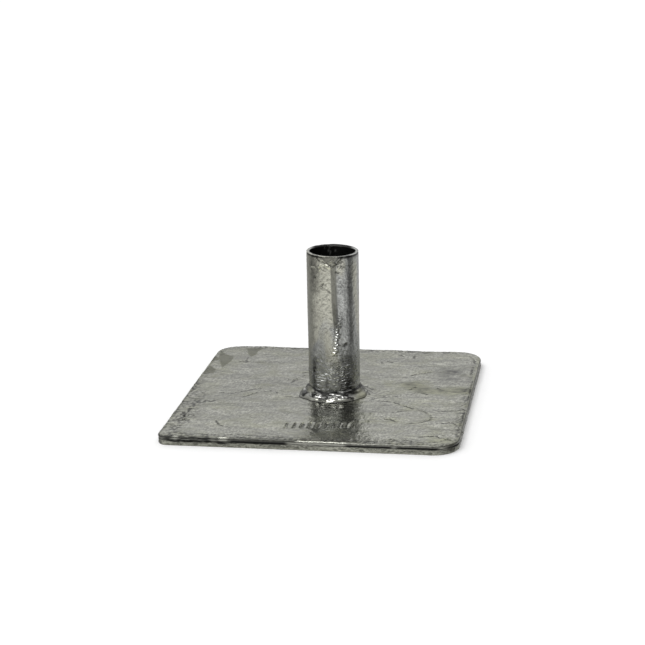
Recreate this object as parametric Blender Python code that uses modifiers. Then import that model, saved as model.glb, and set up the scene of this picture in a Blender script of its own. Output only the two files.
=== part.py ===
"""Scaffold base plate: a square steel foot with a short tube spigot welded onto it.

Three pieces, all hot-dip galvanised after welding:
    base_plate    blanked square plate, rounded corners, top edge rolled over by the press
    spigot_tube   round tube, open at both ends, that stands on the plate
    fillet_weld   ring of weld metal around the foot of the tube

Frame: metres, +Z up, origin on the underside at the middle of the plate.
"""
import math

import bmesh
import bpy

# ---------------------------------------------------------------- driving dimensions
PLATE_SIDE = 0.150
PLATE_THICKNESS = 0.005
CORNER_RADIUS = 0.013
TIGHT_CORNER_RADIUS = 0.005       # the corner at -X -Y is cut tighter than the other three
TOP_EDGE_ROLL = 0.0010            # the press rolls the upper edge over
BOTTOM_EDGE_BREAK = 0.0004        # zinc softens the sharp lower edge

SPIGOT_OUTER_DIAMETER = 0.0269    # 3/4 inch nominal bore tube
SPIGOT_WALL = 0.0016
SPIGOT_LENGTH = 0.077
SPIGOT_END_BREAK = 0.0003
SPIGOT_X = 0.003                  # the tube was set down by hand, a little off the middle
SPIGOT_Y = -0.001

WELD_LEG = 0.0044                 # out along the plate
WELD_HEIGHT = 0.0052              # up the tube
WELD_HOLLOW = 0.0005              # how far the face of the bead dips between its toes

FIT_GAP = 0.0003                  # between pieces that touch
ROUND_STEPS = 96
CORNER_STEPS = 10
FACE_STEPS = 6                    # straight steps in the curved face of the bead
MERGE_DISTANCE = 0.00001
SMOOTH_ANGLE = math.radians(30)

# ---------------------------------------------------------------- derived dimensions
SPIGOT_RADIUS = SPIGOT_OUTER_DIAMETER / 2
SPIGOT_BORE_RADIUS = SPIGOT_RADIUS - SPIGOT_WALL
SPIGOT_FOOT = PLATE_THICKNESS + FIT_GAP
SPIGOT_TOP = SPIGOT_FOOT + SPIGOT_LENGTH
WELD_FOOT = PLATE_THICKNESS + FIT_GAP
WELD_INNER_RADIUS = SPIGOT_RADIUS + FIT_GAP
WELD_TOE_RADIUS = SPIGOT_RADIUS + WELD_LEG
WELD_TOP = PLATE_THICKNESS + WELD_HEIGHT
TOE_THICKNESS = 0.0003            # a bead's toe is never a knife edge


def clear_scene():
    for obj in list(bpy.data.objects):
        bpy.data.objects.remove(obj, do_unlink=True)


def new_collection(name):
    collection = bpy.data.collections.new(name)
    bpy.context.scene.collection.children.link(collection)
    return collection


def metal(name, colour, roughness):
    material = bpy.data.materials.new(name)
    material.use_nodes = True
    shader = material.node_tree.nodes["Principled BSDF"]
    shader.inputs["Base Color"].default_value = (*colour, 1.0)
    shader.inputs["Metallic"].default_value = 0.9
    shader.inputs["Roughness"].default_value = roughness
    return material


def add_object(name, mesh, collection, material):
    mesh.materials.append(material)
    obj = bpy.data.objects.new(name, mesh)
    collection.objects.link(obj)
    return obj


def shade_round(obj):
    """Smooth shading that keeps the real edges crisp, on the mesh its modifiers give."""
    depsgraph = bpy.context.evaluated_depsgraph_get()
    mesh = bpy.data.meshes.new_from_object(obj.evaluated_get(depsgraph))
    obj.modifiers.clear()
    obj.data = mesh
    mesh.shade_smooth()
    mesh.set_sharp_from_angle(angle=SMOOTH_ANGLE)


# ---------------------------------------------------------------- base plate
def is_upright(edge):
    low, high = edge.verts
    return abs(low.co.z - high.co.z) > PLATE_THICKNESS / 2


def in_tight_corner(edge):
    return all(vert.co.x < 0 and vert.co.y < 0 for vert in edge.verts)


def round_corners(bm, radius, tight):
    edges = [edge for edge in bm.edges if is_upright(edge) and in_tight_corner(edge) == tight]
    bmesh.ops.bevel(bm, geom=edges, offset=radius, segments=CORNER_STEPS, profile=0.5, affect='EDGES')


def round_rim(bm, height, width, segments):
    edges = [edge for edge in bm.edges if all(abs(v.co.z - height) < MERGE_DISTANCE for v in edge.verts)]
    bmesh.ops.bevel(bm, geom=edges, offset=width, segments=segments, profile=0.5, affect='EDGES')


def build_plate(collection):
    """A block whose upright corners are rounded first, then its upper and lower rims."""
    bm = bmesh.new()
    bmesh.ops.create_cube(bm, size=1.0)
    bmesh.ops.scale(bm, vec=(PLATE_SIDE, PLATE_SIDE, PLATE_THICKNESS), verts=bm.verts)
    bmesh.ops.translate(bm, vec=(0, 0, PLATE_THICKNESS / 2), verts=bm.verts)
    round_corners(bm, CORNER_RADIUS, tight=False)
    round_corners(bm, TIGHT_CORNER_RADIUS, tight=True)
    round_rim(bm, PLATE_THICKNESS, TOP_EDGE_ROLL, segments=4)
    round_rim(bm, 0.0, BOTTOM_EDGE_BREAK, segments=2)
    mesh = bpy.data.meshes.new("base_plate")
    bm.to_mesh(mesh)
    bm.free()
    plate = add_object("base_plate", mesh, collection, metal("galvanised_plate", (0.34, 0.35, 0.32), 0.45))
    shade_round(plate)
    return plate


# ---------------------------------------------------------------- turned pieces
def turned(name, profile, collection, material):
    """Turns a closed profile of (radius, height) points around the spigot's own axis."""
    bm = bmesh.new()
    verts = [bm.verts.new((radius, 0.0, height)) for radius, height in profile]
    for here, there in zip(verts, verts[1:] + verts[:1]):
        bm.edges.new((here, there))
    mesh = bpy.data.meshes.new(name)
    bm.to_mesh(mesh)
    bm.free()
    obj = add_object(name, mesh, collection, material)
    obj.location = (SPIGOT_X, SPIGOT_Y, 0.0)
    screw = obj.modifiers.new("turn", 'SCREW')
    screw.axis = 'Z'
    screw.angle = math.tau
    screw.steps = ROUND_STEPS
    screw.render_steps = ROUND_STEPS
    screw.use_merge_vertices = True
    screw.merge_threshold = MERGE_DISTANCE
    shade_round(obj)
    return obj


def build_spigot(collection):
    """Outer side from top to bottom, then the bore from bottom to top."""
    outer, bore, soft = SPIGOT_RADIUS, SPIGOT_BORE_RADIUS, SPIGOT_END_BREAK
    profile = [
        (outer - soft, SPIGOT_TOP), (outer, SPIGOT_TOP - soft),
        (outer, SPIGOT_FOOT), (bore, SPIGOT_FOOT),
        (bore, SPIGOT_TOP - soft), (bore + soft, SPIGOT_TOP),
    ]
    return turned("spigot_tube", profile, collection, metal("galvanised_tube", (0.33, 0.33, 0.29), 0.42))


def weld_face(step):
    """A point on the face of the bead, step 0 at the top toe and 1 at the lower one."""
    dip = WELD_HOLLOW * math.sin(math.pi * step)
    radius = WELD_INNER_RADIUS + (WELD_TOE_RADIUS - WELD_INNER_RADIUS) * step
    height = WELD_TOP + (WELD_FOOT + TOE_THICKNESS - WELD_TOP) * step
    lean = math.atan2(WELD_TOP - WELD_FOOT, WELD_TOE_RADIUS - WELD_INNER_RADIUS)
    return radius - dip * math.sin(lean), height - dip * math.cos(lean)


def build_weld(collection):
    """A roughly triangular section with a slightly hollow face."""
    face = [weld_face(i / FACE_STEPS) for i in range(FACE_STEPS + 1)]
    profile = face + [(WELD_TOE_RADIUS, WELD_FOOT), (WELD_INNER_RADIUS, WELD_FOOT)]
    return turned("fillet_weld", profile, collection, metal("galvanised_weld", (0.42, 0.42, 0.40), 0.25))


def main():
    clear_scene()
    parts = new_collection("scaffold_base_plate")
    build_plate(parts)
    build_spigot(parts)
    build_weld(parts)


main()
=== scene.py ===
"""The looks of a hot-dip galvanised scaffold base plate.

Three dense, zinc-coated pieces stand for the three plain CAD solids: the blanked foot plate with its
rolled edge, flow marks and punched bars, the tube spigot with its rim and bore, and the rippled weld.
Lengths are metres, in the CAD model's own frame.
"""

import math

import bpy
import numpy as np
from mathutils import Matrix, Vector, noise


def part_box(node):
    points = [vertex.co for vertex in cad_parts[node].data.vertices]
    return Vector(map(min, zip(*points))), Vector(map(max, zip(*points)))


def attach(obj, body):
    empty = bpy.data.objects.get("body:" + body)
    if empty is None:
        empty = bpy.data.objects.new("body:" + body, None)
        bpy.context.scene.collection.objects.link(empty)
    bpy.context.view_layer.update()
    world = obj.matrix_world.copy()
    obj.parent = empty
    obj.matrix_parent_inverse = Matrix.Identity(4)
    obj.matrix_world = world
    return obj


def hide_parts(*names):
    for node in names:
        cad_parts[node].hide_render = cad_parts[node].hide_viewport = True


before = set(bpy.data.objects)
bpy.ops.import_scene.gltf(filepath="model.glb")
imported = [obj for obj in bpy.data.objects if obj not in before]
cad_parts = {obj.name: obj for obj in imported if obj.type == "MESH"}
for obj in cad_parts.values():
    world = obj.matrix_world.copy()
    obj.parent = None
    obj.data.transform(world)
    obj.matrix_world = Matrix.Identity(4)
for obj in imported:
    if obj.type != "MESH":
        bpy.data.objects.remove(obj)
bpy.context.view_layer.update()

MM = 0.001

# ---------------------------------------------------------------- sizes taken from the CAD model
plate_low, plate_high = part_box("base_plate")
tube_low, tube_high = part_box("spigot_tube")
weld_low, weld_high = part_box("fillet_weld")

PLATE_HALF = (plate_high.x - plate_low.x) / 2
PLATE_TOP = plate_high.z
TUBE_X = (tube_low.x + tube_high.x) / 2
TUBE_Y = (tube_low.y + tube_high.y) / 2
TUBE_RADIUS = (tube_high.x - tube_low.x) / 2
TUBE_TOP = tube_high.z
WELD_LEG = (weld_high.x - weld_low.x) / 2 - TUBE_RADIUS
WELD_HEIGHT = weld_high.z - PLATE_TOP

# ---------------------------------------------------------------- sizes of the surface detail
CORNER_RADIUS = 13 * MM
TIGHT_CORNER_RADIUS = 5 * MM          # the corner at -X -Y
ROLL_WIDTH = 0.75 * MM                # the press rolls the upper edge over
ROLL_HEIGHT = 1.1 * MM
BAND_HEIGHT = 3.25 * MM               # where the smooth band ends and the torn band begins
BAND_GROOVE = 0.22 * MM
FOOT_BREAK = 0.45 * MM
UNDER_MARGIN = 2.5 * MM               # from the outline to the underside's outer row of points
TUBE_WALL = 1.6 * MM
RIM_SOFT = 0.45 * MM                  # radius of the tube's rim, outside and inside
TUBE_LEAN = (0.37 * MM, 0.20 * MM)    # how far the top leans off the foot
CONTACT = 0.02 * MM                   # left between pieces that touch
CREASE_REACH = 2.0 * MM               # how far the fold mask runs out beside its line

PLATE_CELLS = 250                     # cells along one side of the upper face
UNDER_STEP = 5                        # the underside is this many times coarser
UNDER_SHARES = (0.2, 0.4, 0.5, 0.0, 0.0, 0.0)      # how much its dirt adds to each of MASKS


# ---------------------------------------------------------------- fields and curves
def field(points, size, octaves=1, shift=0.0):
    """Smooth noise, about -1 to 1, with features of about size, one number or one for each axis."""
    scaled = points / np.array(size) + np.array((shift, shift * 1.7, shift * 2.3))
    if octaves == 1:
        return np.array([noise.noise(p) for p in scaled])
    return np.array([noise.fractal(p, 1.0, 2.0, octaves) for p in scaled])


def smooth(value, low, high):
    """0 below low, 1 above high, and an S curve between them."""
    t = np.clip((value - low) / (high - low), 0, 1)
    return t * t * (3 - 2 * t)


def bump(distance, width):
    return np.exp(-(distance / width) ** 2)


def path_distance(points, path):
    """How far each point lies, in plan, from a line through the path's points."""
    best = np.full(len(points), 1e9)
    for start, end in zip(path, path[1:]):
        a, b = np.array(start), np.array(end)
        along = np.clip(((points[:, :2] - a) @ (b - a)) / ((b - a) @ (b - a)), 0, 1)
        best = np.minimum(best, np.linalg.norm(points[:, :2] - a - along[:, None] * (b - a), axis=1))
    return best


def rounded(path, passes=2):
    """The path with its corners cut, which makes a smooth curve of it."""
    path = [np.array(p, float) for p in path]
    for _ in range(passes):
        cut = [path[0]]
        for a, b in zip(path, path[1:]):
            cut += [0.75 * a + 0.25 * b, 0.25 * a + 0.75 * b]
        path = cut + [path[-1]]
    return path


def inside(points, corners, soft):
    """1 inside a convex outline given counterclockwise, 0 outside, soft across its sides."""
    depth = np.full(len(points), 1e9)
    for a, b in zip(corners, corners[1:] + corners[:1]):
        a, b = np.array(a), np.array(b)
        side = (b - a) / np.linalg.norm(b - a)
        offset = points[:, :2] - a
        depth = np.minimum(depth, side[0] * offset[:, 1] - side[1] * offset[:, 0])
    return smooth(depth, -soft, soft)


def in_mm(*points):
    return [(x * MM, y * MM) for x, y in points]


# ---------------------------------------------------------------- mesh building
def quads(rows, columns, closed=False):
    """Faces between neighbouring rows of a block of points, each row closed into a loop if asked."""
    row, column = np.meshgrid(np.arange(rows - 1), np.arange(columns - (not closed)), indexing="ij")
    after = (column + 1) % columns
    corners = (row * columns + column, row * columns + after,
               (row + 1) * columns + after, (row + 1) * columns + column)
    return np.stack(corners, -1).reshape(-1, 4)


def ring_faces(rows, around):
    """Faces of a ring made of closed rows, whose last row joins its first."""
    first = np.arange(around)
    last = (rows - 1) * around + first
    joint = np.stack([first, np.roll(first, -1), np.roll(last, -1), last], 1)
    return quads(rows, around, closed=True)[:, ::-1].tolist() + joint.tolist()


def grid_border(cells):
    """Indices of the outer points of a square grid, in order around it."""
    index = np.arange((cells + 1) ** 2).reshape(cells + 1, cells + 1)
    return np.concatenate([index[0, :-1], index[:-1, -1], index[-1, :0:-1], index[:0:-1, 0]])


def make_piece(name, points, faces, material, masks):
    """A smooth-shaded mesh with one float attribute for each mask."""
    mesh = bpy.data.meshes.new(name)
    mesh.from_pydata(points.tolist(), [], faces)
    for mask, values in masks.items():
        attribute = mesh.attributes.new(mask, 'FLOAT', 'POINT')
        attribute.data.foreach_set("value", np.clip(values, 0, 1).astype(np.float32))
    mesh.materials.append(material)
    mesh.shade_smooth()
    mesh.update()
    piece = bpy.data.objects.new(name, mesh)
    bpy.context.scene.collection.objects.link(piece)
    return piece


# ---------------------------------------------------------------- materials
MASKS = ("tarnish_and_painted_shade", "stain", "dull", "shine", "plain", "fold")
FRECKLE_COLOUR = (0.12, 0.12, 0.10)
# dark of tarnished zinc, used also for painted shade and painted dark reflections
TARNISH_AND_PAINTED_SHADE_COLOUR = (0.024, 0.024, 0.023)
# painted shade along folds, creases, cracks and the punched bars
CREASE_SHADE_COLOUR = (0.035, 0.035, 0.030)
CREASE_DEPTH = 0.00018


class Nodes:
    """A material's node tree, with short calls for the nodes that the zinc needs."""

    def __init__(self, name):
        self.material = bpy.data.materials.new(name)
        self.material.use_nodes = True
        self.tree = self.material.node_tree
        self.shader = self.tree.nodes["Principled BSDF"]
        self.place = self.tree.nodes.new("ShaderNodeTexCoord").outputs["Object"]

    def feed(self, socket, value):
        if isinstance(value, bpy.types.NodeSocket):
            self.tree.links.new(value, socket)
        else:
            socket.default_value = value

    def noise(self, scale, detail=3.0, roughness=0.5, stretch=(1, 1, 1)):
        mapping = self.tree.nodes.new("ShaderNodeMapping")
        mapping.inputs["Scale"].default_value = stretch
        self.feed(mapping.inputs["Vector"], self.place)
        texture = self.tree.nodes.new("ShaderNodeTexNoise")
        self.feed(texture.inputs["Vector"], mapping.outputs["Vector"])
        self.feed(texture.inputs["Scale"], scale)
        self.feed(texture.inputs["Detail"], detail)
        self.feed(texture.inputs["Roughness"], roughness)
        return texture.outputs["Fac"]

    def attribute(self, name):
        node = self.tree.nodes.new("ShaderNodeAttribute")
        node.attribute_name = name
        return node.outputs["Fac"]

    def remap(self, value, from_low, from_high, to_low, to_high):
        node = self.tree.nodes.new("ShaderNodeMapRange")
        for socket, number in zip(list(node.inputs)[:5], (value, from_low, from_high, to_low, to_high)):
            self.feed(socket, number)
        return node.outputs["Result"]

    def math(self, operation, a, b):
        node = self.tree.nodes.new("ShaderNodeMath")
        node.operation = operation
        self.feed(node.inputs[0], a)
        self.feed(node.inputs[1], b)
        return node.outputs["Value"]

    def mix(self, share, a, b):
        node = self.tree.nodes.new("ShaderNodeMix")
        node.data_type = 'RGBA'
        self.feed(node.inputs["Factor"], share)
        for socket, value in ((node.inputs[6], a), (node.inputs[7], b)):
            self.feed(socket, value if isinstance(value, bpy.types.NodeSocket) else (*value, 1.0))
        return node.outputs[2]

    def bump(self, height, distance, strength, below=None):
        node = self.tree.nodes.new("ShaderNodeBump")
        self.feed(node.inputs["Height"], height)
        self.feed(node.inputs["Distance"], distance)
        self.feed(node.inputs["Strength"], strength)
        if below:
            self.feed(node.inputs["Normal"], below)
        return node.outputs["Normal"]


def zinc(name, light, dark, olive, along, grain, drawn, grain_depth, grain_share, crease_share, rough):
    """Galvanised steel, whose grain is so many speckles to the metre and whose middle roughness is rough.

    Streaks and speckle are drawn out along the axis that has the lower number in along and in drawn. The
    masks come from the mesh: the first darkens, for tarnished zinc and also for painted shade and painted
    dark reflections; stain tints olive, dull roughens, shine polishes, plain leaves the grain out, and fold,
    which is 1 along a line and falls off evenly beside it, draws a fine dark crease there, a painted shade
    along the fold.
    """
    n = Nodes(name)
    grainy = n.math('SUBTRACT', 1.0, n.attribute("plain"))
    streaks = n.noise(150, 5.0, 0.62, along)
    speckle = n.noise(grain, 4.0, 0.70, drawn)
    freckles = n.noise(grain * 0.8, 3.0, 0.6, drawn)
    colour = n.mix(n.remap(streaks, 0.32, 0.68, 0, 1), dark, light)
    speckled = n.math('MULTIPLY', n.remap(speckle, 0.42, 0.58, grain_share, 0.0), grainy)
    colour = n.mix(speckled, colour, tuple(0.7 * c for c in dark))
    freckled = n.math('MULTIPLY', n.remap(freckles, 0.58, 0.68, 0.0, 0.6 * grain_share), grainy)
    colour = n.mix(freckled, colour, FRECKLE_COLOUR)
    colour = n.mix(n.math('MULTIPLY', n.attribute("stain"), 0.8), colour, olive)
    # darker for tarnished zinc, and for painted shade and painted dark reflections
    colour = n.mix(n.attribute("tarnish_and_painted_shade"), colour, TARNISH_AND_PAINTED_SHADE_COLOUR)
    ragged = n.math('MULTIPLY', n.math('SUBTRACT', n.noise(850, 3.0, 0.6), 0.5), 1.1)
    crease = n.remap(n.math('ADD', n.attribute("fold"), ragged), 0.66, 0.80, 0.0, 1.0)
    share = n.remap(n.noise(380, 2.0, 0.5), 0.42, 0.56, 0.1 * crease_share, crease_share)
    crease = n.math('MULTIPLY', crease, share)
    # the fine dark crease: painted shade along the fold
    colour = n.mix(crease, colour, CREASE_SHADE_COLOUR)
    n.feed(n.shader.inputs["Base Color"], colour)
    n.feed(n.shader.inputs["Metallic"], 1.0)
    patches = n.noise(240, 3.0, 0.5, along)
    level = n.remap(patches, 0.3, 0.7, rough - 0.06, rough + 0.07)
    level = n.math('ADD', level, n.math('MULTIPLY', n.attribute("dull"), 0.3))
    level = n.math('SUBTRACT', level, n.math('MULTIPLY', n.attribute("shine"), 0.2))
    n.feed(n.shader.inputs["Roughness"], n.math('MAXIMUM', level, 0.08))
    strength = n.math('MAXIMUM', grainy, 0.15)
    coarse = n.bump(n.noise(grain * 0.5, 3.0, 0.55, drawn), grain_depth * 2.0, strength)
    fine = n.bump(speckle, grain_depth, strength, coarse)
    creased = n.bump(n.math('SUBTRACT', 1.0, crease), CREASE_DEPTH, 1.0, fine)
    n.feed(n.shader.inputs["Normal"], creased)
    return n.material


def plate_zinc():
    return zinc("plate_zinc", (0.505, 0.505, 0.447), (0.310, 0.312, 0.275), (0.33, 0.335, 0.235), (0.4, 1, 1),
                760, (1, 0.6, 1), 0.00012, 0.80, 0.85, 0.18)


def tube_zinc():
    return zinc("tube_zinc", (0.815, 0.83, 0.795), (0.53, 0.54, 0.52), (0.70, 0.69, 0.575), (1, 1, 0.4),
                1000, (1, 1, 0.6), 0.00007, 0.45, 0.5, 0.20)


def weld_zinc():
    return zinc("weld_zinc", (0.50, 0.50, 0.48), (0.26, 0.26, 0.25), (0.42, 0.42, 0.31), (1, 1, 1),
                900, (1, 1, 1), 0.00003, 0.5, 0.8, 0.14)


# ---------------------------------------------------------------- foot plate
def plate_plan(u, v, inset):
    """Points of the rounded square, inset from its outline, for grid places u and v from -1 to 1."""
    band = CORNER_RADIUS
    core = PLATE_HALF - band

    def squeezed(t):
        far = np.abs(t) * PLATE_HALF
        return np.sign(t) * np.where(far <= core, far, core + (far - core) * (band - inset) / band)

    x, y = squeezed(u), squeezed(v)
    for side_x in (-1, 1):
        for side_y in (-1, 1):
            radius = TIGHT_CORNER_RADIUS if (side_x, side_y) == (-1, -1) else CORNER_RADIUS
            centre = PLATE_HALF - radius
            a, b = x * side_x - centre, y * side_y - centre
            here = (a > 0) & (b > 0)
            reach = np.maximum(a, b)
            turn = np.where(a >= b, b / np.where(a > 0, a, 1), 2 - a / np.where(b > 0, b, 1)) * math.pi / 4
            x = np.where(here, side_x * (centre + reach * np.cos(turn)), x)
            y = np.where(here, side_y * (centre + reach * np.sin(turn)), y)
    return x, y


def rim_inset(height):
    """How far the plate's edge lies inside its widest outline, at a height above the underside."""
    up = np.clip((height - (PLATE_TOP - ROLL_HEIGHT)) / ROLL_HEIGHT, 0, 1)
    down = np.clip((FOOT_BREAK - height) / FOOT_BREAK, 0, 1)
    roll = ROLL_WIDTH * (1 - np.sqrt(1 - up ** 2))
    foot = FOOT_BREAK * (1 - np.sqrt(1 - down ** 2))
    return roll + foot + BAND_GROOVE * bump(height - BAND_HEIGHT, 0.35 * MM)


# Stretches of the front edge, from and to in x, in mm.
POLISHED = ((-38, -9), (20, 43), (45, 66))
SHEARED = ((-72, -37),)
GLINTS = ((-66, -64.5), (-43, -39), (-4, 20))
TORN = ((-62, 5),)


def stretches(x, spans):
    """1 along the given stretches of x, soft at their ends."""
    return np.max([smooth(x, (a - 1.5) * MM, (a + 1.5) * MM) * smooth(-x, -(b + 1.5) * MM, -(b - 1.5) * MM)
                   for a, b in spans], axis=0)


def rim_heights():
    """Heights of the rows of points down the edge, close together where it curves."""
    roll = [PLATE_TOP - ROLL_HEIGHT * (1 - math.cos(math.pi / 2 * i / 6)) for i in range(1, 7)]
    side = np.linspace(PLATE_TOP - ROLL_HEIGHT, FOOT_BREAK, 15)[1:]
    foot = [FOOT_BREAK * (1 - math.sin(math.pi / 2 * i / 3)) for i in range(1, 4)]
    return [*roll, *side, *foot]


TEARDROP = rounded(in_mm((36, -14), (41, -18), (47, -23), (55, -28),
                         (58, -34), (58, -39), (53, -43), (45, -46)))
FOLDS = [rounded(in_mm(*path)) for path in (       # sharp little folds in the zinc
    ((-57, -7), (-51, -8.5), (-45, -4), (-37, 1.5)),
    ((-44, -14), (-39, -7), (-34, -3), (-29, -2.5), (-27, -5)),
    ((-50, -51), (-47, -56), (-44, -59), (-41, -59.5)),
    ((-55.5, 54), (-54.5, 44.5)),
    ((-58, 45), (-54, 46.5), (-48, 45.5), (-38, 47)),
    ((-66, -24), (-63, -23.5), (-62.5, -19), (-59, -23), (-57.5, -20)),
    ((-70.5, -38), (-68, -44), (-67.5, -41), (-67, -33)),
    ((24, -10), (30, -6), (36, -5), (40, -3.5)),
    ((28, -13), (33, -12), (36, -14)),
    ((35, -39.5), (37.5, -40), (41, -43.5)),
    ((38, -30), (41, -28), (45, -25.5)),
    ((63, -42), (66, -42.5), (68.5, -41), (71, -44)),
    ((72, 48), (72, 34), (72.3, 29)),
    ((68.5, 67.5), (71, 62.5), (72.3, 55)),
    ((37.3, 70), (37.8, 61)),
    ((20, 54), (22, 49)),
    ((24, 53.5), (27, 52)),
    ((29, 66), (31.5, 64)),
    ((42, 6.5), (43, 9.5), (45, 11.5)),
    ((49, 2), (52, 0)),
    ((56.5, 11), (60.5, 6.5)),
    ((-19.5, 30), (-16.5, 30.2)),
    ((-22.5, 13), (-21.5, 20), (-18, 25)),
    ((40, 31), (46, 35), (50, 36.5)),
    ((55.5, -63.5), (61.5, -61.5), (66, -63.5), (70.5, -66)),
    ((61, -25), (67, -24), (73, -21)),
    ((28, -71.0), (38, -71.6), (47, -70.6), (56, -71.3), (63, -69.8), (68, -66.5), (71, -61)),
    ((-66, -70.2), (-45, -70.6), (-30, -69.8), (-12, -70.6)),
    ((17.8, 10.2), (20, 7.2), (22.6, 5.2)),
    ((19.0, 6.6), (20.6, 3.2), (22.6, 1.0)),
    ((20.4, 0.5), (22.0, -2.5), (21.8, -5.6)),
    ((-21.5, -10), (-18, -10.6), (-14.8, -10.7)),
    ((-17.5, 19), (-21, 17), (-25, 17.5)),
    ((38, -69.5), (42, -68), (45, -69.8), (49, -68), (52, -69.8)),
    ((-73, -57), (-70, -60), (-66, -59)),
    ((-72, -50), (-68.5, -52), (-66, -49.5)),
    ((74, 24), (73.8, 8), (74.1, -10), (73.7, -28), (73.4, -44), (72.6, -55)),
)]
SPANGLES = [in_mm(*corners) for corners in (       # the dark crystals in the back left corner
    ((-65.8, 33.8), (-63.3, 45.5), (-63.4, 54), (-69, 58), (-71.6, 50.5)),
    ((-71.6, 50.5), (-69, 58), (-73.4, 65)),
    ((-73.2, 21.7), (-68.1, 24), (-68.6, 31), (-73.5, 37.5), (-75.5, 28)),
    ((-75, 44), (-71, 47), (-71.5, 51), (-75, 55)),
    ((-53.6, 54), (-51.4, 60), (-52.3, 67), (-58, 66.6), (-57, 61)),
    ((-57.6, 65), (-52, 65.3), (-49.6, 71.2), (-60, 70.2)),
)]
WRINKLES = [in_mm(*spot) for spot in (             # (x, y) and (reach, height)
    ((22, 3), (6, 0.6)), ((-20, 19), (6, 0.4)), ((31, -38), (9, 0.45)), ((47, -68), (9, 0.35)),
    ((-68, -48), (10, 0.6)), ((66, -60), (8, 0.5)))]
OLIVE_PATCHES = [in_mm(*spot) for spot in (        # (x, y) and the reach along each
    ((41, -42), (6, 6)), ((53, -13), (9, 5)), ((65, -66), (7, 4)), ((30, 14), (8, 5)))]
# The strip is also painted darker, a painted reflection of the tube, and a patch carries that on to the front
# edge.
GLOSSY_X = 4 * MM                      # a smoother strip from the weld to the front edge mirrors the tube

BARS_X = 3 * MM                        # middle of the row of punched bars
BARS_Y = -52 * MM
BARS_PITCH = 4 * MM
BARS_COUNT = 9
BARS_REACH = 3.4 * MM                  # half the length of a bar
BARS_SPREAD = 0.6 * MM                 # how far a bar's groove reaches beside its middle line
BARS_DEPTH = 0.60 * MM
NIB_PLACE = (PLATE_HALF, -51.5 * MM, 3.4 * MM)     # a little horn of zinc on the right side
NIB_OUT = 0.9 * MM


def punched_bars(points):
    """How far each point lies from the nearest of a plain row of short upright bars."""
    along = points[:, 0] - BARS_X
    across = points[:, 1] - BARS_Y - 0.1 * along
    within = np.abs(along) < BARS_PITCH * BARS_COUNT / 2
    off_bar = np.abs((along + BARS_PITCH / 2) % BARS_PITCH - BARS_PITCH / 2)
    reach = np.clip(np.abs(across) - BARS_REACH, 0, None)
    return np.where(within, np.hypot(off_bar, reach), 1.0)


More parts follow.
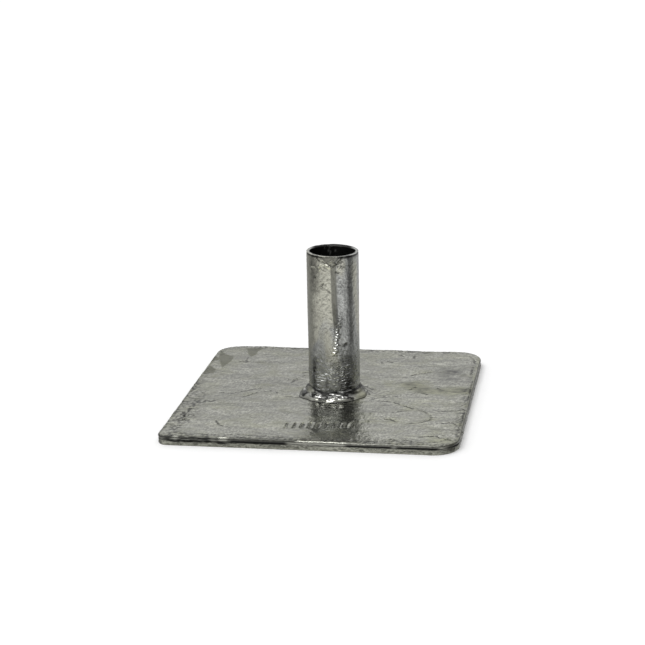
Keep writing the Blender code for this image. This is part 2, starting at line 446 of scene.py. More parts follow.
def plate_relief(points):
    """Height of the zinc on the upper face, and the masks that go with it."""
    x, y = points[:, 0], points[:, 1]
    clear = smooth(np.hypot(x - TUBE_X, y - TUBE_Y), 19.0 * MM, 21.5 * MM)
    from_edge = PLATE_HALF - np.maximum(np.abs(x), np.abs(y))
    drift = field(points, (30 * MM, 18 * MM, 1), 2, 3.1)
    moved = points + np.stack([0 * x, 5 * MM * drift, 0 * x], 1)

    # low terraces where the zinc ran, then broad swells, ripples and a fine grain
    flow = 4.0 * field(moved, (44 * MM, 11 * MM, 1), 2, 7.7)
    level = np.floor(flow)
    step = smooth(flow - level, 0.84, 1.0)
    flowing = smooth(field(points, (34 * MM, 22 * MM, 1), 1, 12.5), -0.3, 0.2)
    height = 0.13 * MM * (level + step - flow) * flowing
    height += 0.34 * MM * field(moved, (40 * MM, 20 * MM, 1), 2, 1.3)
    height += 0.10 * MM * field(moved, (9 * MM, 5 * MM, 1), 3, 5.9)
    height += 0.045 * MM * field(points, (1.9 * MM, 2.6 * MM, 1), 2, 15.9)

    # the outline of one long drop, the folds and the punched bars
    drop = path_distance(points, TEARDROP)
    height += 0.14 * MM * bump(drop, 1.0 * MM)
    fold_path = np.min([path_distance(points, path) for path in FOLDS], axis=0)
    broken = smooth(field(points, 5 * MM, 2, 21.0), -0.55, -0.05)
    bars_gap = punched_bars(points) + 0.3 * MM * field(points, 4 * MM, 2, 61.0)
    fold_path = np.minimum(fold_path, drop)
    fold = np.clip(1 - fold_path / CREASE_REACH, 0, 1) * (0.78 + 0.22 * broken)
    for gap in (drop, bars_gap):
        fold = np.maximum(fold, np.clip(1 - gap / CREASE_REACH, 0, 1))
    height -= 0.12 * MM * bump(fold_path, 0.7 * MM) * broken
    height += 0.06 * MM * bump(fold_path - 1.3 * MM, 0.8 * MM) * broken
    # a bead along the edge, pits beside it, the depth of the bars, and crinkled spots
    bead = bump(from_edge - 2.3 * MM, 0.7 * MM)
    bead *= smooth(field(points, (22 * MM, 22 * MM, 1), 2, 9.1), -0.35, 0.1)
    height += 0.13 * MM * bead * smooth(y, -68 * MM, -60 * MM)
    border = bump(x + 68 * MM, 4.5 * MM) * smooth(field(points, (14 * MM, 20 * MM, 1), 1, 4.4), -0.3, 0.2)
    border *= smooth(-y, -10 * MM, 25 * MM)
    calm = smooth(np.abs(x), 58 * MM, 68 * MM) * smooth(y, 5 * MM, 20 * MM)
    border = np.maximum(border, 0.8 * bump(from_edge - 2 * MM, 3 * MM) * (1 - 0.7 * calm))
    border = np.maximum(border, 1.1 * bump(np.hypot(x + 69 * MM, (y + 46 * MM) / 2), 6 * MM))
    pits = smooth(field(points, (1.5 * MM, 2.2 * MM, 1), 2, 8.8), 0.05, 0.23) * border
    height -= 0.16 * MM * pits
    height -= BARS_DEPTH * bump(bars_gap, BARS_SPREAD)
    crinkle = field(points, (3.4 * MM, 2.2 * MM, 1), 2, 2.2)
    for (middle_x, middle_y), (reach, tall) in WRINKLES:
        height += tall * crinkle * bump(np.hypot(x - middle_x, y - middle_y), reach)
    height *= clear

    # dark crystals, a smudge and a dark run toward +X, olive tints, the smoother strip with its painted
    # reflection of the tube, dirt and grime
    spangle = np.max([inside(points, corners, 0.3 * MM) for corners in SPANGLES], axis=0)
    smudge = bump(np.hypot((x - 61 * MM) / 1.6, y - 37 * MM), 4.5 * MM)
    smudge = np.maximum(smudge, 0.55 * bump(np.hypot(x - 62 * MM, (y - 33 * MM) / 1.6), 9 * MM))
    smudge *= 1 + 1.0 * field(points, (6 * MM, 3.5 * MM, 1), 3, 30.0)
    run = path_distance(points, in_mm((41, 15), (46, 9), (53, 5), (62, 6), (75, 8)))
    run = bump(run + 2 * MM * field(points, (9 * MM, 5 * MM, 1), 2, 33.0), 4.8 * MM)
    tint = np.max([bump(np.hypot((x - middle_x) / reach_x, (y - middle_y) / reach_y), 1)
                   for (middle_x, middle_y), (reach_x, reach_y) in OLIVE_PATCHES], axis=0)
    tint *= smooth(field(points, (5 * MM, 4 * MM, 1), 2, 36.0), -0.6, 0.1)
    glossy_and_painted_reflection = smooth(y, -74 * MM, -60 * MM) * smooth(-y, 12 * MM, 18 * MM) * bump(x - GLOSSY_X, 13 * MM)
    tinted = smooth(field(points, (16 * MM, 10 * MM, 1), 3, 26.6), 0.0, 0.55)
    dirt = smooth(field(points, (9 * MM, 5 * MM, 1), 3, 6.6), 0.1, 0.6)
    soiled = smooth(-from_edge, -2.6 * MM, -1.0 * MM) * smooth(field(points, 5 * MM, 3, 47.0), -0.5, 0.3)
    yellowed = smooth(field(points, 12 * MM, 2, 48.0), -0.2, 0.2)
    masks = {
        "tarnish_and_painted_shade": 0.44 * spangle + 0.88 * smudge + 0.85 * pits + 0.08 * dirt + 0.22 * glossy_and_painted_reflection
        + 0.42 * run * (1 + 1.4 * field(points, (5 * MM, 3 * MM, 1), 3, 35.0))
        + 0.30 * soiled * (1 - 0.8 * calm)
        + 0.12 * smooth(y, -66 * MM, -15 * MM) * smooth(-x, -60 * MM, -5 * MM)
        # painted reflection of the tube, carried on to the front edge
        + 0.35 * bump(x - 5 * MM, 16 * MM) * smooth(-y, 56 * MM, 68 * MM),
        "stain": 1.2 * spangle + 1.6 * run + 0.7 * tint + 0.3 * dirt + 0.35 * tinted
        + 0.4 * bump(drop, 1.2 * MM) + 0.5 * smooth(-from_edge, -2.5 * MM, -1.2 * MM) * yellowed,
        "dull": 0.4 * border + 0.5 * spangle + 0.4 * run + 0.2 * tinted
        + 0.3 * smooth(-from_edge, -2.2 * MM, -1.0 * MM),
        "shine": 0.35 * glossy_and_painted_reflection,
        "plain": 0.75 * glossy_and_painted_reflection,
        "fold": fold,
    }
    return height, masks


def plate_rim(around_u, around_v, edge_lift):
    """Rows of points down the plate's edge, each with its masks."""
    out_x, out_y = plate_plan(around_u, around_v, 0.0)
    in_x, in_y = plate_plan(around_u, around_v, ROLL_WIDTH)
    outward = np.stack([out_x - in_x, out_y - in_y, 0 * in_x], 1)
    outward /= np.linalg.norm(outward, axis=1)[:, None]

    rows, row_masks = [], []
    for height in rim_heights():
        px, py = plate_plan(around_u, around_v, rim_inset(np.float64(height)))
        row = np.stack([px, py, np.full_like(px, height)], 1)
        torn = smooth(BAND_HEIGHT - 0.4 * MM - height, 0, 0.4 * MM)
        soft = 0.12 * field(row, (9 * MM, 9 * MM, 2.5 * MM), 2, 3.3)
        nicks = smooth(field(row, (2.6 * MM, 2.6 * MM, 1.0 * MM), 2, 6.1), 0.15, 0.6) * torn
        lumps = 0.12 * field(row, 1.6 * MM, 2, 4.7) * (0.3 + torn)
        sideways = MM * (soft + lumps - 0.30 * nicks) * smooth(height, 0, FOOT_BREAK)
        nib = bump(np.linalg.norm(row - NIB_PLACE, axis=1), 1.0 * MM)
        row += outward * (sideways + NIB_OUT * nib)[:, None]
        row[:, 2] += edge_lift * smooth(height, PLATE_TOP - 2 * ROLL_HEIGHT, PLATE_TOP)
        at_front = smooth(-py, PLATE_HALF - 4 * MM, PLATE_HALF - 1 * MM)
        chance = smooth(field(row * (1, 1, 0), 13 * MM, 2, 2.9), -0.30, 0.05)
        run = (1 - at_front) * chance + at_front * stretches(px, POLISHED)
        leftward = smooth(-px, -20 * MM, -5 * MM)
        polished = smooth(-abs(height - BAND_HEIGHT), -(0.80 + 0.35 * leftward) * MM, -0.40 * MM)
        upper = smooth(height, BAND_HEIGHT + 0.3 * MM, BAND_HEIGHT + 0.9 * MM)
        foot_line = 1.9 * MM + 0.9 * MM * field(row * (1, 1, 0), 6 * MM, 2, 8.3)
        sheared = at_front * stretches(px, SHEARED) * smooth(height - foot_line, -0.35 * MM, 0.35 * MM)
        glint = (1 - at_front) * smooth(field(row * (1, 1, 0), 11 * MM, 2, 52.0), 0.10, 0.3)
        glint = glint + at_front * stretches(px, GLINTS) * smooth(height, 2.9 * MM, 3.4 * MM)
        mottle = smooth(field(row, (4 * MM, 4 * MM, 0.8 * MM), 3, 58.0), -0.45, 0.15)
        worn = smooth(field(row, (4 * MM, 4 * MM, 1.2 * MM), 2, 57.0), -0.1, 0.4) * (1 - at_front)
        rightward = smooth(px, PLATE_HALF - 8 * MM, PLATE_HALF - 2 * MM) * (1 - at_front)
        shaded = 0.30 - 0.15 * rightward + at_front * (0.12 + 0.30 * leftward)
        # Down the edge the dark line and band are partly tarnished zinc and partly painted dark reflection,
        # and the shaded roll is painted shade.
        darkest = np.max([polished * (0.25 + 0.75 * run),
                          sheared * (0.52 + 0.44 * mottle) * (1 - glint),
                          upper * (1 - glint) * shaded], axis=0)
        row_masks.append({
            "tarnish_and_painted_shade": darkest + 0.2 * nicks + (0.4 - 0.2 * rightward) * worn
            + 0.14 * torn * at_front * stretches(px, TORN),
            "stain": 0.25 * torn + 0.3 * upper * (1 - at_front),
            "dull": 0.25 * torn + (0.5 + 0.3 * at_front) * upper * (1 - glint),
            "shine": 0.3 * polished + 0.3 * glint * upper,
            "plain": np.maximum(polished, 0.6 * sheared),
            "fold": np.zeros_like(px),
        })
        rows.append(row)
    return rows, row_masks


def build_plate():
    n = PLATE_CELLS
    step = np.linspace(-1, 1, n + 1)
    v, u = np.meshgrid(step, step, indexing="ij")
    x, y = plate_plan(u.ravel(), v.ravel(), ROLL_WIDTH)
    top = np.stack([x, y, np.full_like(x, PLATE_TOP)], 1)
    lift, masks = plate_relief(top)
    top[:, 2] += lift

    loop = grid_border(n)
    rows, row_masks = plate_rim(u.ravel()[loop], v.ravel()[loop], lift[loop])
    rim = np.concatenate(rows)

    m = n // UNDER_STEP
    coarse = np.linspace(-1, 1, m + 1) * (PLATE_HALF - UNDER_MARGIN) / PLATE_HALF
    cv, cu = np.meshgrid(coarse, coarse, indexing="ij")
    bx, by = plate_plan(cu.ravel(), cv.ravel(), FOOT_BREAK)
    under = np.stack([bx, by, np.zeros_like(bx)], 1)
    under[:, 2] += 0.05 * MM * (1 + np.clip(field(under, (20 * MM, 12 * MM, 1), 3, 5.5), -1, 1))

    # the upper face, the rows down the edge, the underside, and many-sided faces that close the seam to it
    rim_start, under_start = len(top), len(top) + len(rim)
    faces = quads(n + 1, n + 1).tolist()
    count = len(loop)
    rings = np.concatenate([loop, rim_start + np.arange(len(rim))]).reshape(-1, count)
    for upper, lower in zip(rings, rings[1:]):
        faces += np.stack([lower, np.roll(lower, -1), np.roll(upper, -1), upper], 1).tolist()
    faces += (quads(m + 1, m + 1)[:, ::-1] + under_start).tolist()
    last, coarse_loop = rings[-1], under_start + grid_border(m)
    for j, corner in enumerate(coarse_loop):
        fine = [int(last[(j * UNDER_STEP + k) % count]) for k in range(UNDER_STEP + 1)]
        following = int(coarse_loop[(j + 1) % len(coarse_loop)])
        faces.append([int(corner), following, *fine[::-1]])

    under_dirt = smooth(field(under, (12 * MM, 8 * MM, 1), 3, 4.1), 0, 0.7)
    all_masks = {}
    for key, share in zip(MASKS, UNDER_SHARES):
        all_masks[key] = np.concatenate([masks[key], *[r[key] for r in row_masks], share * under_dirt])
    points = np.concatenate([top, rim, under])
    piece = make_piece("foot_plate", points, faces, plate_zinc(), all_masks)
    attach(piece, "root")
    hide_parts("base_plate")
    return piece


# ---------------------------------------------------------------- spigot tube
TUBE_AROUND = 280
TUBE_ALONG = 290
BORE_ALONG = 24
FRONT = math.radians(-80)             # the side of the tube that faces the viewer
CUT_RISE = 0.08 * MM                  # the saw cut at the top is a little high,
CUT_SLANT = 0.25 * MM                 # and higher toward -X
FAR_CHAMFER = 0.7 * MM                # the far part of the rim falls this much toward the bore

# Marks on the tube as (round from the front, below the rim), in mm.
SEAM_LINE = rounded(in_mm((0.1, 5.2), (0.3, 10), (0.3, 15), (0.45, 23), (0.95, 31), (1.5, 40)))
COLLAR = in_mm((-6.6, 0.6), (5.4, 0.6), (1.0, 5.2), (-1.2, 5.4))
TUBE_FOLDS = [rounded(in_mm(*path)) for path in (
    ((-9.2, 0.9), (-8.0, 2.1), (-6.8, 3.1), (-5.6, 2.9), (-4.6, 3.2), (-3.0, 3.8), (-2.0, 4.6), (-0.9, 5.2)),
    ((5.0, 1.1), (4.1, 2.2), (2.7, 3.3), (1.3, 4.7), (0.5, 4.9)),
    ((1.6, 8.0), (2.7, 8.5)),
    ((-5.4, 14.2), (-5.9, 15.8), (-7.0, 16.0)),
    ((-2.9, 17.2), (-2.3, 18.6)),
    ((5.4, 47.8), (6.2, 46.6), (6.9, 47.2)),
)]
TUBE_RIDGES = [rounded(in_mm(*path)) for path in (
    ((-5.1, 3.7), (-3.5, 4.9), (-2.0, 5.7), (-0.9, 5.9)),
    ((-8.2, 6.0), (-6.3, 4.6), (-4.9, 4.1)),
    ((-7.6, 7.6), (-6.2, 6.9)),
    ((-13.0, 6.6), (-10.2, 6.3)),
    ((2.4, 2.4), (3.6, 1.6)),
    ((-1.5, 3.0), (-0.2, 2.3)),
    ((0.3, 3.4), (1.3, 4.3)),
    ((2.9, 6.2), (3.7, 5.6)),
)]


def turn_from(angle, middle):
    """The angle from middle, wrapped to -pi..pi."""
    return (angle - middle + math.pi) % math.tau - math.pi


def tube_section():
    """(radius, height, outside) down the outer side, starting at the crown of the rim, and down the bore."""
    soft = RIM_SOFT
    outer, bore = TUBE_RADIUS, TUBE_RADIUS - TUBE_WALL
    crown = [(outer - soft + soft * math.sin(a), TUBE_TOP - soft + soft * math.cos(a), 1.0)
             for a in np.linspace(0, math.pi / 2, 6)]
    side = [(outer, z, 1.0) for z in np.linspace(TUBE_TOP - soft, PLATE_TOP + CONTACT, TUBE_ALONG)[1:]]
    bottom = [(bore, PLATE_TOP + CONTACT, 0.0)]
    depth = TUBE_TOP - soft - PLATE_TOP - CONTACT
    hollow = [(bore, TUBE_TOP - soft - depth * (1 - t) ** 2, 0.0) for t in np.linspace(0, 1, BORE_ALONG)[1:]]
    lip = [(bore + soft - soft * math.sin(a), TUBE_TOP - soft + soft * math.cos(a), 0.0)
           for a in np.linspace(math.pi / 2, 0, 5)[1:]]
    return crown + side + bottom + hollow + lip


def tube_relief(points, turn, height):
    """How far the zinc stands out from the tube's outer side, and the masks that go with it."""
    front = turn_from(turn, FRONT)
    across = front * TUBE_RADIUS
    below = TUBE_TOP - height
    unrolled = np.stack([across, below], 1)
    ragged = field(points, 2.4 * MM, 2, 37.0)

    def patch(middle_x, middle_y, half_width, half_height, ends=0.45):
        """1 inside an oval with a ragged outline, placed and sized in mm on the unrolled tube."""
        sideways = turn_from(turn, FRONT + middle_x * MM / TUBE_RADIUS) * TUBE_RADIUS
        reach = np.hypot(sideways / (half_width * MM), (below - middle_y * MM) / (half_height * MM))
        return smooth(1 + ends / 2 - reach + 0.35 * ragged, 0, ends)

    # the weld seam and the smooth collar at its top, the peel of the zinc, and its curled edges
    seam_gap = path_distance(unrolled, SEAM_LINE) + 0.12 * MM * field(points * (0, 0, 1), 5 * MM, 2, 31.0)
    seam = smooth(-seam_gap, -1.62 * MM, -1.30 * MM) * smooth(-below, -46 * MM, -36 * MM)
    collar = inside(unrolled, COLLAR, 0.25 * MM)
    plain = np.maximum(seam, collar)
    peel = field(points, (1.1 * MM, 1.1 * MM, 1.7 * MM), 2, 3.0)
    curls = bump(field(points, (1.5 * MM, 1.5 * MM, 2.3 * MM), 2, 23.0), 0.09)
    lower = smooth(-height, -34 * MM, -14 * MM)
    curls *= smooth(field(points, 5 * MM, 2, 43.0), -0.25, 0.15) * (1 - plain)
    relief = 0.055 * peel * (1 - 0.85 * plain) - 0.05 * curls
    relief += 0.07 * field(points, (8 * MM, 8 * MM, 22 * MM), 2, 1.0)
    relief += 0.28 * lower * field(points, (1.9 * MM, 1.9 * MM, 1.1 * MM), 2, 14.0)
    relief -= 0.06 * plain

    # ladders of fine ticks, crumbs, a crust under the rim, folds and raised ridges
    ticks = np.maximum(patch(6.5, 65, 4.2, 11), smooth(field(points, 9 * MM, 1, 71.0), 0.2, 0.4) * lower)
    wave = np.sin(math.tau * height / (1.25 * MM) + 5 * field(points, (3.5 * MM, 3.5 * MM, 3 * MM), 2, 13.0))
    relief += 0.20 * ticks * wave
    crumbs = np.maximum(patch(-9, 56.5, 2.4, 2.4), patch(-9.4, 68, 2.6, 5.5))
    relief += 0.42 * crumbs * field(points, 1.3 * MM, 1, 15.0)
    crusty = np.maximum(patch(-5.0, 4.6, 3.6, 3.2), 0.8 * patch(3.2, 3.4, 2.0, 2.0)) * (1 - collar)
    relief += 0.34 * crusty * field(points, 1.2 * MM, 1, 19.0)
    fold_gap = np.min([path_distance(unrolled, path) for path in TUBE_FOLDS], axis=0)
    fold = bump(fold_gap + 0.12 * MM * ragged, 0.42 * MM)
    ridge_gap = np.min([path_distance(unrolled, path) for path in TUBE_RIDGES], axis=0)
    ridge = bump(ridge_gap + 0.10 * MM * ragged, 0.42 * MM)
    relief += 0.38 * ridge - 0.14 * fold
    # a run of beads about halfway down, and the groove under the rim
    run_x = (0.4 + 0.13 * (height / MM - 31.5)) * MM
    zigzag = np.sin(math.tau * height / (2.9 * MM) + 4 * field(points * (0, 0, 1), 4 * MM, 2, 17.0))
    along = (height / (1.4 * MM) + 0.6 * field(points, (1.6 * MM, 1.6 * MM, 3 * MM), 1, 27.0)) % 1
    beads = np.where(along < 0.7, 1 - along / 0.7, (along - 0.7) / 0.3)
    beads *= 0.92 + 0.5 * field(points, (2 * MM, 2 * MM, 1.3 * MM), 1, 29.0)
    run = bump(across - run_x - 0.35 * MM * zigzag, 1.05 * MM)
    run *= smooth(height, 29 * MM, 31 * MM) * smooth(-height, -52 * MM, -42 * MM)
    relief += run * (0.10 + beads)
    lip_left, lip_right = smooth(-front, 0.35, 0.55), smooth(front, 0.12, 0.35)
    lip = 0.08 + 0.92 * np.maximum(lip_left, lip_right)
    lip_gap = below - 0.72 * MM
    relief -= 0.16 * bump(lip_gap, 0.34 * MM) * lip

    # stains and streaks, with painted shade down the tube's left side and a painted dark reflection down its
    # right
    blotch = smooth(field(points, (6 * MM, 6 * MM, 15 * MM), 3, 6.0), -0.05, 0.6)
    dark_streak = bump(path_distance(unrolled, in_mm((-11.7, 57), (-12.0, 66), (-12.4, 77))), 1.9 * MM)
    top_patch = np.maximum(patch(-10.5, 6.5, 3.4, 6.5, 0.9), 0.8 * patch(-10.9, 13, 3.2, 7.5, 1.2))
    # painted dark reflection down the tube's right side
    right_dark_reflection = bump(path_distance(unrolled, in_mm((8.6, -2), (9.2, 28), (9.8, 46))), 1.3 * MM)
    left_shade = patch(-14.5, 44, 4.5, 48, 1.4)
    streaks = (0.50 * top_patch + 0.34 * right_dark_reflection
               + 0.55 * dark_streak * (1 + 0.3 * ragged) + 0.20 * left_shade
               + 0.44 * patch(6.3, 64, 4.3, 14, 0.9) + 0.40 * patch(-4.1, 68, 0.9, 2.4, 0.8)
               + 0.14 * patch(-6, 44, 7, 24, 1.2) + 0.16 * patch(16.5, 42, 3.0, 24, 1.2)
               + 0.24 * patch(-17, 67, 2.6, 15, 1.0) + 0.25 * patch(7.4, 72, 2.6, 6, 0.8)
               + 0.35 * patch(-1.0, 74, 3.6, 3.0, 0.8) + 0.28 * patch(6.3, 47.4, 1.6, 1.8, 1.2)
               + 0.30 * patch(4.2, 38, 0.6, 6, 1.0) + 0.30 * patch(-36, 30, 2, 26, 0.8)
               + 0.35 * patch(30, 52, 2.4, 18, 0.8)) * (1 - 0.8 * ridge)
    olive_edge = 36 - 1.07 * (across / MM + 1.7) - below / MM + 7 * field(points, 8 * MM, 2, 4.0)
    olive = smooth(olive_edge, -3, 4) * smooth(-across, -2.5 * MM, -0.5 * MM)
    olive = np.maximum(olive, np.maximum(0.8 * patch(4.0, 5.5, 2.6, 5.0, 0.8), top_patch))
    olive = np.maximum(olive, smooth(field(points, (10 * MM, 10 * MM, 30 * MM), 2, 4.0), 0.1, 0.5))
    masks = {
        "tarnish_and_painted_shade": 0.28 * fold + 0.08 * blotch + 0.52 * collar + 0.54 * seam * (1 - collar)
        # the streaks bring painted shade and a painted dark reflection; the curls and the peel's dips get
        # painted shade in their small hollows
        + streaks * (1 + 0.4 * peel) + 0.20 * curls + 0.10 * smooth(-peel, 0.1, 0.4)
        # painted shade in the groove under the rim, and the tube darker just above the weld
        + 0.85 * bump(lip_gap, 0.36 * MM) * lip + 0.2 * bump(height - PLATE_TOP - WELD_HEIGHT, 0.9 * MM),
        "stain": olive * (1 - 0.5 * lower),
        "dull": 0.25 * blotch + 0.3 * plain,
        "shine": run + 0.5 * ridge + 0.4 * crumbs,
        "plain": plain,
        "fold": np.maximum(np.clip(1 - fold_gap / CREASE_REACH, 0, 1),
                           0.9 * crusty * bump(field(points, 1.9 * MM, 2, 33.0), 0.12)),
    }
    return relief * MM, masks


SPECKS = ((109.4, 3.1, 1.0), (105.1, 4.1, 0.6), (106.6, 1.0, 0.6), (119.6, 1.1, 0.4), (91.5, 2.6, 0.35))


def bore_specks(points, turn, height):
    """Beads of zinc on the bore's wall, given by turn in degrees, depth in mm and strength."""
    specks = np.zeros(len(points))
    for degrees, deep, strength in SPECKS:
        sideways = turn_from(turn, math.radians(degrees)) * TUBE_RADIUS
        specks += strength * bump(np.hypot(sideways, TUBE_TOP - deep * MM - height), 0.42 * MM)
    return specks


def build_tube():
    section = np.array(tube_section())
    angle = np.linspace(0, math.tau, TUBE_AROUND, endpoint=False)
    radius, height = np.repeat(section[:, 0], TUBE_AROUND), np.repeat(section[:, 1], TUBE_AROUND)
    outside = np.repeat(section[:, 2], TUBE_AROUND)
    turn = np.tile(angle, len(section))
    points = np.stack([radius * np.cos(turn), radius * np.sin(turn), height], 1)
    below = TUBE_TOP - height

    relief, masks = tube_relief(points, turn, height)
    specks = bore_specks(points, turn, height) * (1 - outside)
    inner_seam = 0.12 * bump(turn_from(turn, math.radians(100)) * radius, 0.8 * MM)
    inner = -MM * (0.06 * field(points, (4 * MM, 4 * MM, 7 * MM), 2, 2.0) + inner_seam + 0.2 * specks)
    amount = np.where(outside > 0.5, relief * smooth(below, 0, 0.5 * MM), inner)
    amount *= smooth(height, PLATE_TOP, PLATE_TOP + 1 * MM)
    points[:, :2] += amount[:, None] * np.stack([np.cos(turn), np.sin(turn)], 1)
    crown = smooth(height, TUBE_TOP - 0.5 * MM, TUBE_TOP)
    points[:, 2] += crown * 0.10 * MM * (field(points * (1, 1, 0), 3 * MM, 2, 7.0) - 0.3)
    cut = smooth(height, TUBE_TOP - 7 * MM, TUBE_TOP - 0.5 * MM)
    points[:, 2] += cut * (CUT_RISE - CUT_SLANT * np.cos(turn))
    far_side = smooth(1.25 - np.abs(turn_from(turn, FRONT + math.pi)), 0, 0.5)
    inward = np.clip((TUBE_RADIUS - RIM_SOFT - radius) / (TUBE_WALL - RIM_SOFT), 0, 1)
    points[:, 2] -= FAR_CHAMFER * inward * far_side * smooth(height, TUBE_TOP - 5 * MM, TUBE_TOP - 0.5 * MM)

    # the bore below its lip is painted dark and rough: painted shade in the hollow
    hollow = (1 - outside) * smooth(below, 0.2 * MM, 0.9 * MM)
    for key in masks:
        masks[key] = masks[key] * outside
    # a dark band just under the rim's outer edge, most at the front: painted shade under the lip
    rim = smooth(height, TUBE_TOP - 0.9 * MM, TUBE_TOP - 0.5 * MM)
    rim *= (0.25 + 0.45 * bump(turn_from(turn, FRONT), 0.55)
            + far_side * smooth(field(points, 1.5 * MM, 1, 3.0), -0.7, -0.4))
    masks["tarnish_and_painted_shade"] += hollow + rim - 1.5 * specks
    masks["dull"] += hollow - specks
    share = (height - PLATE_TOP) / (TUBE_TOP - PLATE_TOP)
    points[:, 0] += TUBE_X + TUBE_LEAN[0] * share
    points[:, 1] += TUBE_Y + TUBE_LEAN[1] * share
    faces = ring_faces(len(section), TUBE_AROUND)
    piece = make_piece("tube_spigot", points, faces, tube_zinc(), masks)
    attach(piece, "root")
    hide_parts("spigot_tube")
    return piece


# ---------------------------------------------------------------- weld bead
WELD_AROUND = 420
WELD_ACROSS = 44


def build_weld():
    angle = np.linspace(0, math.tau, WELD_AROUND, endpoint=False)
    ring = np.stack([np.cos(angle), np.sin(angle), 0 * angle], 1)
    front = np.degrees(turn_from(angle, FRONT))        # degrees round from the front
    corners = 1.2 * bump(front + 70, 14) + 0.8 * bump(front - 62, 12)
    leg = WELD_LEG + MM * (-0.4 * np.cos(angle) + corners + 0.5 * field(ring, 0.45, 3, 2.0))
    rise = WELD_HEIGHT + MM * (0.2 + 0.8 * field(ring, 0.5, 3, 4.0) - 0.7 * bump(front - 10, 45))
    inner = TUBE_RADIUS + CONTACT
    steep, flat = math.radians(27), math.radians(64)     # how far the bead's surface faces up at its two ends
    rows, masks = [], []
    for s in np.linspace(0, 1, WELD_ACROSS):
        facing = steep + (flat - steep) * s
        out = (math.cos(steep) - math.cos(facing)) / (math.cos(steep) - math.cos(flat))
        down = (math.sin(facing) - math.sin(steep)) / (math.sin(flat) - math.sin(steep))
        radius = inner + leg * out
        height = PLATE_TOP + CONTACT + rise * (1 - down)
        row = np.stack([radius * np.cos(angle), radius * np.sin(angle), height], 1)
        body = math.sin(math.pi * s) ** 0.6 if 0 < s < 1 else 0.0
        beat = angle * 22 + 1.8 * field(ring, 0.5, 2, 8.0) + 2.6 * s * s
        ripple = 0.07 * np.sin(beat)
        place = np.stack([radius * np.cos(angle), radius * np.sin(angle), 0 * angle + 7 * MM * s], 1)
        lumps = 0.66 * field(place, (5.0 * MM, 5.0 * MM, 2.6 * MM), 1, 1.0)
        lumps += 0.26 * field(place, (3.6 * MM, 3.6 * MM, 1.2 * MM), 1, 5.0)
        swell = MM * body * (0.22 + ripple + lumps)
        row += swell[:, None] * np.stack([np.cos(angle) * 0.7, np.sin(angle) * 0.7, 0.7 + 0 * angle], 1)
        rows.append(row)
        # painted shade where the bead meets the plate and the tube, and a dark line inside its foot at the
        # front
        joint_shade = bump(s - 1.0, 0.06) * (1 - 0.5 * corners)
        joint_shade = joint_shade + 0.5 * bump(s, 0.10) + 0.2 * corners * smooth(s, 0.5, 0.8)
        joint_shade = joint_shade + 0.62 * smooth(s, 0.72, 0.86) * bump(front / 50, 1) * smooth(lumps, -0.5, 0.1)
        # dark patches, most next to the tube: partly grime and partly painted dark reflection; thinned where
        # the lamps glint
        smut_and_dark_reflection = field(place, (4.2 * MM, 4.2 * MM, 1.9 * MM), 2, 9.0) + 0.42 - 0.72 * s
        frosted = np.maximum(bump(front - 60, 16) * smooth(s, 0.10, 0.35),
                             bump(front + 64, 15) * smooth(-s, -0.6, -0.3))
        smut_and_dark_reflection += 0.30 * bump(front - 84, 10) + 0.35 * bump(front + 46, 9) * bump(s - 0.45, 0.2)
        smut_and_dark_reflection -= 0.22 * bump(front - 38, 18) + 0.30 * bump(front - 58, 16) * smooth(-s, -0.45, -0.15)
        smut_and_dark_reflection += 0.42 * bump(front - 36, 13) * smooth(s, 0.55, 0.75)
        smut_and_dark_reflection = smooth(smut_and_dark_reflection, 0.0, 0.25) * (1 - 0.85 * frosted)
        cracks = bump(field(place, (2.8 * MM, 2.8 * MM, 1.8 * MM), 2, 44.0), 0.10)
        cracks *= np.maximum(bump(front - 84, 16), 0.8 * bump(front + 82, 12))
        masks.append((0.85 * joint_shade + 0.92 * smut_and_dark_reflection + 0.36 * bump(front + 64, 22),
                      0.4 * bump(s - 0.85, 0.2) + 0.8 * frosted,
                      0.2 * smut_and_dark_reflection + 1.1 * frosted,
                      0.3 * (1 - smut_and_dark_reflection), 0 * angle, cracks))
    level = np.full_like(angle, PLATE_TOP + CONTACT)
    rows.append(np.stack([inner * np.cos(angle), inner * np.sin(angle), level], 1))
    masks.append((0 * angle,) * len(MASKS))
    points = np.concatenate(rows) + (TUBE_X, TUBE_Y, 0)
    faces = ring_faces(len(rows), WELD_AROUND)
    columns = [np.concatenate([np.broadcast_to(c, angle.shape) for c in column]) for column in zip(*masks)]
    piece = make_piece("weld_bead", points, faces, weld_zinc(),
                       dict(zip(MASKS, columns)))
    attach(piece, "root")
    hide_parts("fillet_weld")
    return piece


# ---------------------------------------------------------------- stage, light and camera
def plain_material(name, colour, roughness):
    material = bpy.data.materials.new(name)
    material.use_nodes = True
    shader = material.node_tree.nodes["Principled BSDF"]
    shader.inputs["Base Color"].default_value = (*colour, 1.0)
    shader.inputs["Roughness"].default_value = roughness
    return material


def build_floor():
    mesh = bpy.data.meshes.new("floor")
    side = 6.0
    corners = [(-side, -side, 0), (side, -side, 0), (side, side, 0), (-side, side, 0)]
    mesh.from_pydata(corners, [], [(0, 1, 2, 3)])
    mesh.materials.append(plain_material("pale_floor", (0.86, 0.86, 0.86), 0.9))
    floor = bpy.data.objects.new("floor", mesh)
    bpy.context.scene.collection.objects.link(floor)
    floor.visible_glossy = False       # the zinc mirrors the studio, and not the white paper under it


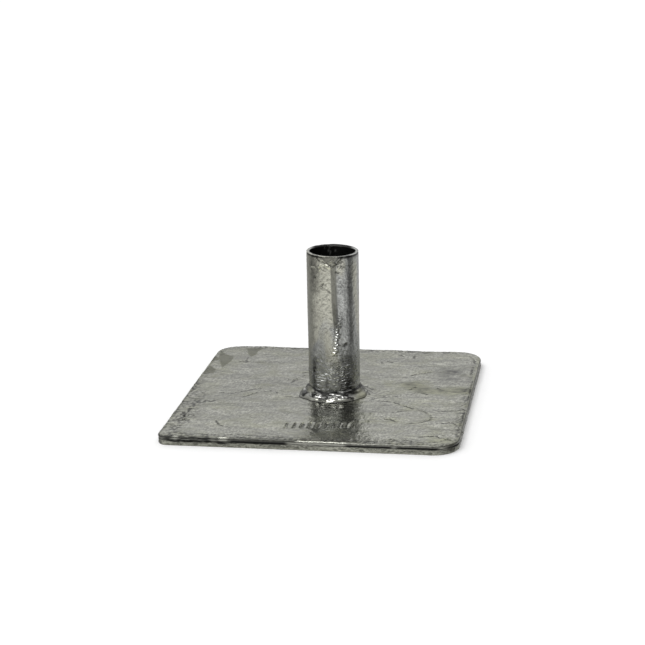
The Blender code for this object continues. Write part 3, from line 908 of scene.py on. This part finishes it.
# How bright the studio is all round, by compass direction from behind the part (-180) over its left side
# (-90), the viewer (0) and its right side (90): once for what lies below the horizon and once above it.
SURROUND_BELOW = (
    (-180, 0.46), (-140, 0.38), (-112, 0.30), (-90, 0.46), (-68, 0.80), (-40, 0.94), (-5, 0.92), (10, 0.74),
    (38, 0.90), (62, 0.76), (86, 0.12), (104, 0.14), (125, 0.70), (150, 0.60), (180, 0.44))
SURROUND_ABOVE = (
    (-180, 0.90), (-120, 0.88), (-60, 0.74), (-20, 0.70), (10, 0.54), (40, 0.36), (75, 0.18), (105, 0.24),
    (135, 0.70), (155, 0.90), (180, 0.90))
HORIZON_SHARE = 0.22                   # how bright the horizon is beside what lies above it
HORIZON_RISE = 2.2                     # and how fast that grows upward
MOST_RISE = 1.3                        # and where it stops growing
SURROUND_OVERHEAD = 0.60
FLOOR_BLEND = (-0.36, -0.02)           # how far up, -1 to 1, the studio goes over from below to above
OVERHEAD_BLEND = (0.55, 0.95)          # and from there to what is overhead


def compass_ramp(tree, turn, stops):
    ramp = tree.nodes.new("ShaderNodeValToRGB")
    ramp.color_ramp.interpolation = 'B_SPLINE'
    elements = ramp.color_ramp.elements
    for degrees, level in stops[1:-1]:
        elements.new((degrees + 180) / 360).color = (level, level, level, 1)
    for element, (_, level) in ((elements[0], stops[0]), (elements[-1], stops[-1])):
        element.color = (level, level, level, 1)
    tree.links.new(turn, ramp.inputs["Fac"])
    return ramp.outputs["Color"]


def world_math(tree, operation, *values):
    node = tree.nodes.new("ShaderNodeMath")
    node.operation = operation
    for socket, value in zip(node.inputs, values):
        if isinstance(value, bpy.types.NodeSocket):
            tree.links.new(value, socket)
        else:
            socket.default_value = value
    return node.outputs["Value"]


def world_mix(tree, value, low, high, below, above):
    share = tree.nodes.new("ShaderNodeMapRange")
    share.interpolation_type = 'SMOOTHSTEP'
    tree.links.new(value, share.inputs["Value"])
    share.inputs["From Min"].default_value, share.inputs["From Max"].default_value = low, high
    mix = tree.nodes.new("ShaderNodeMix")
    mix.data_type = 'RGBA'
    tree.links.new(share.outputs["Result"], mix.inputs["Factor"])
    for socket, colour in ((mix.inputs[6], below), (mix.inputs[7], above)):
        if isinstance(colour, bpy.types.NodeSocket):
            tree.links.new(colour, socket)
        else:
            socket.default_value = (colour, colour, colour, 1)
    return mix.outputs[2]


def build_surround():
    world = bpy.data.worlds.new("studio")
    bpy.context.scene.world = world
    world.use_nodes = True
    tree = world.node_tree
    split = tree.nodes.new("ShaderNodeSeparateXYZ")
    tree.links.new(tree.nodes.new("ShaderNodeTexCoord").outputs["Generated"], split.inputs["Vector"])
    x, y, z = (split.outputs[axis] for axis in "XYZ")
    turn = world_math(tree, 'ARCTAN2', x, world_math(tree, 'MULTIPLY', y, -1.0))
    turn = world_math(tree, 'ADD', world_math(tree, 'DIVIDE', turn, math.tau), 0.5)
    below = compass_ramp(tree, turn, SURROUND_BELOW)
    above = compass_ramp(tree, turn, SURROUND_ABOVE)
    rising = world_math(tree, 'ADD', HORIZON_SHARE, world_math(tree, 'MULTIPLY', z, HORIZON_RISE))
    scaled = tree.nodes.new("ShaderNodeVectorMath")
    scaled.operation = 'SCALE'
    tree.links.new(above, scaled.inputs[0])
    rising = world_math(tree, 'MINIMUM', world_math(tree, 'MAXIMUM', rising, HORIZON_SHARE), MOST_RISE)
    tree.links.new(rising, scaled.inputs["Scale"])
    colour = world_mix(tree, z, *FLOOR_BLEND, below, scaled.outputs["Vector"])
    colour = world_mix(tree, z, *OVERHEAD_BLEND, colour, SURROUND_OVERHEAD)
    tree.links.new(colour, tree.nodes["Background"].inputs["Color"])
    tree.nodes["Background"].inputs["Strength"].default_value = 1.0


LAMPS = ((-75, 60), (-25, 67), (25, 60))   # azimuth and elevation of a row of soft lamps above the viewer
LAMP_STRENGTH = 0.65
LAMP_SIZE = math.radians(22)


def toward(azimuth, elevation):
    """The direction from the part to a place given like the camera's, by azimuth and elevation."""
    a, e = math.radians(azimuth), math.radians(elevation)
    return Vector((math.sin(a) * math.cos(e), -math.cos(a) * math.cos(e), math.sin(e)))


def build_light():
    build_surround()
    for azimuth, elevation in LAMPS:
        data = bpy.data.lights.new("lamp", 'SUN')
        data.energy = LAMP_STRENGTH
        data.angle = LAMP_SIZE
        lamp = bpy.data.objects.new("lamp", data)
        bpy.context.scene.collection.objects.link(lamp)
        lamp.rotation_euler = (-toward(azimuth, elevation)).to_track_quat('-Z', 'Y').to_euler()


CAMERA_PLACE = (0.1503, -0.8726, 0.3098)
CAMERA_AZIMUTH = 9.954
CAMERA_ELEVATION = 16.761
CAMERA_ROLL = -1.355
CAMERA_LENS = 98.66


def build_camera():
    data = bpy.data.cameras.new("camera")
    data.lens = CAMERA_LENS
    data.sensor_width = 36.0
    data.clip_start, data.clip_end = 0.05, 20.0
    camera = bpy.data.objects.new("camera", data)
    bpy.context.scene.collection.objects.link(camera)
    level = (-toward(CAMERA_AZIMUTH, CAMERA_ELEVATION)).to_track_quat('-Z', 'Y').to_matrix()
    rolled = level @ Matrix.Rotation(math.radians(CAMERA_ROLL), 3, 'Z')
    camera.matrix_world = Matrix.Translation(CAMERA_PLACE) @ rolled.to_4x4()
    bpy.context.scene.camera = camera


bpy.context.scene.view_settings.view_transform = 'Standard'
build_plate()
build_tube()
build_weld()
build_floor()
build_light()
build_camera()
